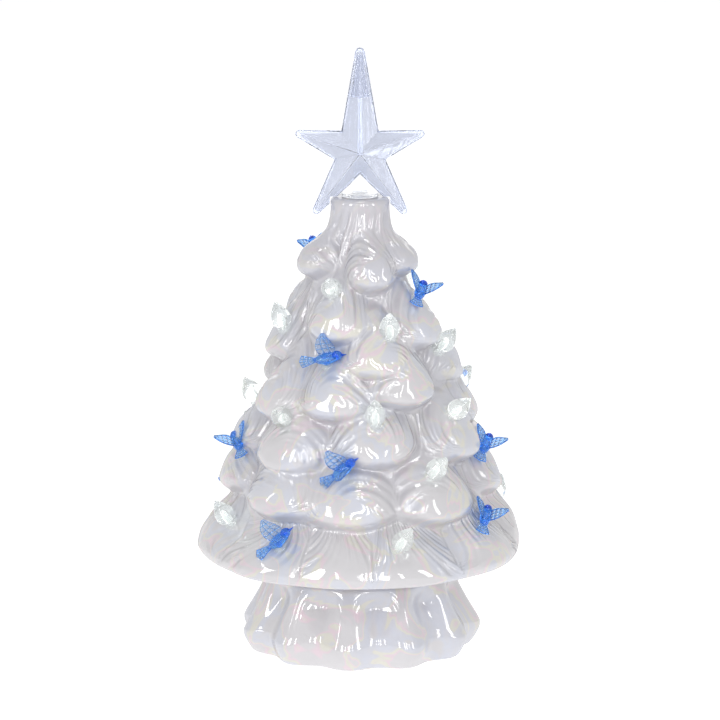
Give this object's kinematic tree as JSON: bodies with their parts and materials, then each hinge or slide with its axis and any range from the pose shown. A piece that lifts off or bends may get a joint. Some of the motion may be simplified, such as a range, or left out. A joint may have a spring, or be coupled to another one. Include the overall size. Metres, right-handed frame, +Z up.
{
  "type": "lighted ceramic christmas tree",
  "caption": "Glazed ceramic table tree with draped branches on a fluted foot, push-in clear bulbs and blue birds, a clear star, and a battery light inside.",
  "frame": {"origin": "on the table, under the middle of the whole tree's plan, which is the foot's axis", "axes": "+Z up along the tree, the front side towards -Y, +X to the right of someone who faces the front"},
  "size_m": [0.1903, 0.193, 0.356],
  "materials": {
    "glazed_ceramic": "gloss pearl lustre",
    "clear_plastic": "clear gloss",
    "blue_plastic": "translucent gloss",
    "white_plastic": "satin",
    "black_plastic": "satin",
    "nickel": "nickel plated",
    "cell_jacket": "printed foil sleeve, no print",
    "circuit_board": "white mask",
    "led_lens": "clear gloss",
    "red_wire": "satin",
    "black_wire": "satin"
  },
  "bodies": {
    "foot": {"base_shell": "glazed_ceramic", "battery_case": "white_plastic", "led_post": "white_plastic", "switch_body": "black_plastic", "contact_spring_1": "nickel", "contact_spring_2": "nickel", "contact_spring_3": "nickel", "terminal_positive": "nickel", "terminal_negative": "nickel", "bridge_plate_1": "nickel", "bridge_plate_2": "nickel", "battery_1": "cell_jacket", "battery_2": "cell_jacket", "battery_3": "cell_jacket", "led_board": "circuit_board", "led_1": "led_lens", "led_2": "led_lens", "led_3": "led_lens", "wire_red": "red_wire", "wire_black": "black_wire"},
    "tree": {"tree_shell": "glazed_ceramic", "bulb_01": "clear_plastic", "bulb_02": "clear_plastic", "bulb_03": "clear_plastic", "bulb_04": "clear_plastic", "bulb_05": "clear_plastic", "bulb_06": "clear_plastic", "bulb_07": "clear_plastic", "bulb_08": "clear_plastic", "bulb_09": "clear_plastic", "bulb_10": "clear_plastic", "bulb_11": "clear_plastic", "bulb_12": "clear_plastic", "bulb_13": "clear_plastic", "bulb_14": "clear_plastic", "bulb_15": "clear_plastic", "bulb_16": "clear_plastic", "bulb_17": "clear_plastic", "bulb_18": "clear_plastic", "bulb_19": "clear_plastic", "bulb_20": "clear_plastic", "bird_01": "blue_plastic", "bird_02": "blue_plastic", "bird_03": "blue_plastic", "bird_04": "blue_plastic", "bird_05": "blue_plastic", "bird_06": "blue_plastic", "bird_07": "blue_plastic", "bird_08": "blue_plastic", "bird_09": "blue_plastic", "bird_10": "blue_plastic", "bird_11": "blue_plastic", "bird_12": "blue_plastic", "bird_13": "blue_plastic", "bird_14": "blue_plastic"},
    "star": {"star_front": "clear_plastic", "star_back": "clear_plastic", "star_stem": "clear_plastic"},
    "door": {"battery_door": "white_plastic"},
    "knob": {"switch_knob": "black_plastic"}
  },
  "joints": [
    {"name": "tree_lift", "type": "slide", "parent": "foot", "child": "tree", "axis": [0, 0, 1], "range_m": [0, 0.12]},
    {"name": "star_pull", "type": "slide", "parent": "tree", "child": "star", "axis": [0, 0, 1], "range_m": [0, 0.02]},
    {"name": "door_hinge", "type": "hinge", "parent": "foot", "child": "door", "pos_m": [0, -0.02665, 0.0025], "axis": [-1, 0, 0], "range_deg": [0, 95]},
    {"name": "switch_slide", "type": "slide", "parent": "foot", "child": "knob", "axis": [0, 1, 0], "range_m": [0, 0.004]}
  ]
}
